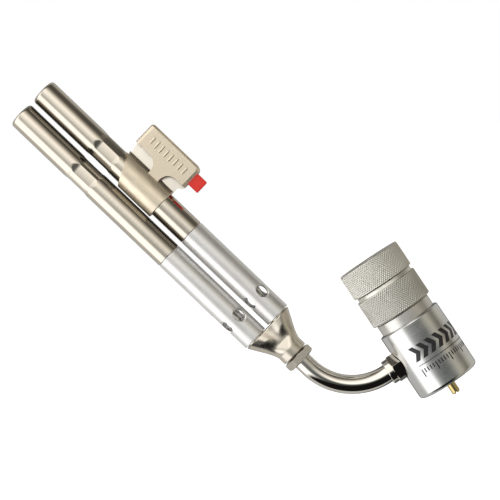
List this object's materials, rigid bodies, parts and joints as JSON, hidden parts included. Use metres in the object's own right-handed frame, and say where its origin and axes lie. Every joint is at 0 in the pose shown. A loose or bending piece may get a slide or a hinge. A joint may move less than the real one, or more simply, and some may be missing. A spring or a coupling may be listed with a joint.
{
  "type": "twin-tube gas torch",
  "caption": "Hand-held brazing torch: knurled regulator knob on a valve body, bent neck, forked manifold and parallel burner tubes with a push-button spark igniter.",
  "frame": {"origin": "centre of the valve body's bottom face, on the inlet's axis, where the gas cylinder screws in", "axes": "+Z along the valve body's axis towards the control knob, -X towards the neck, the neck and burner tubes in the XZ plane"},
  "size_m": [0.1467, 0.0388, 0.279],
  "materials": {
    "body_aluminium": "satin, turned",
    "knurled_aluminium": "fine diamond knurl, matt",
    "sleeve_aluminium": "satin",
    "stainless": "polished stainless",
    "plated_nickel": "bright nickel plate",
    "cast_nickel": "satin nickel plate, warm",
    "satin_nickel": "satin nickel plate on sheet",
    "brass": "turned",
    "spring_steel": "drawn",
    "rubber": "matt",
    "red_plastic": "satin moulded",
    "black_plastic": "moulded",
    "ceramic": "white alumina"
  },
  "bodies": {
    "valve": {"valve_body": "body_aluminium", "inlet_pin": "brass", "inlet_seal": "rubber", "inlet_filter": "spring_steel", "poppet_spring": "spring_steel", "valve_seat": "brass", "diaphragm": "rubber", "bonnet": "body_aluminium", "bonnet_ring": "knurled_aluminium", "knob_circlip": "spring_steel", "regulator_spring": "spring_steel", "body_nipple": "plated_nickel", "union_seal": "rubber", "union_nut": "plated_nickel"},
    "knob": {"control_knob": "knurled_aluminium", "knob_cap": "body_aluminium"},
    "spindle": {"spindle": "brass", "spring_cap": "spring_steel"},
    "regulator_valve": {"valve_poppet": "brass", "diaphragm_plate": "spring_steel"},
    "burner": {"neck_tube": "plated_nickel", "burner_nut": "cast_nickel", "manifold_seal": "rubber", "manifold": "cast_nickel", "inner_gas_jet": "brass", "outer_gas_jet": "brass", "inner_mixer_sleeve": "sleeve_aluminium", "outer_mixer_sleeve": "sleeve_aluminium", "inner_burner_tube": "stainless", "outer_burner_tube": "stainless", "inner_flame_holder": "spring_steel", "outer_flame_holder": "spring_steel", "igniter_bracket": "satin_nickel", "piezo_body": "black_plastic", "piezo_crystal": "ceramic", "piezo_spring": "spring_steel", "electrode_insulator": "ceramic", "electrode": "spring_steel", "ignition_wire": "black_plastic"},
    "button": {"igniter_button": "red_plastic", "piezo_plunger": "black_plastic"}
  },
  "joints": [
    {"name": "knob_turn", "type": "hinge", "parent": "valve", "child": "knob", "pos_m": [0, 0, 0.0689], "axis": [0, 0, 1], "range_deg": [0, 540]},
    {"name": "spindle_feed", "type": "slide", "parent": "knob", "child": "spindle", "axis": [0, 0, 1], "range_m": [-0.0019, 0], "deforming": ["regulator_spring"]},
    {"name": "poppet_lift", "type": "slide", "parent": "valve", "child": "regulator_valve", "axis": [0, 0, 1], "range_m": [-0.0005, 0], "deforming": ["poppet_spring", "diaphragm"]},
    {"name": "neck_swivel", "type": "hinge", "parent": "valve", "child": "burner", "pos_m": [-0.0185, 0, 0.0234], "axis": [-1, 0, 0], "continuous": true},
    {"name": "button_press", "type": "slide", "parent": "burner", "child": "button", "axis": [-0.2175, 0, 0.9761], "range_m": [0, 0.0055], "stiffness_N_per_m": 600, "deforming": ["piezo_spring"]}
  ],
  "couplings": [
    {"joint": "spindle_feed", "follows": "knob_turn", "m_per_rad": -0.0002},
    {"joint": "poppet_lift", "follows": "knob_turn", "m_per_rad": -0.00005}
  ]
}
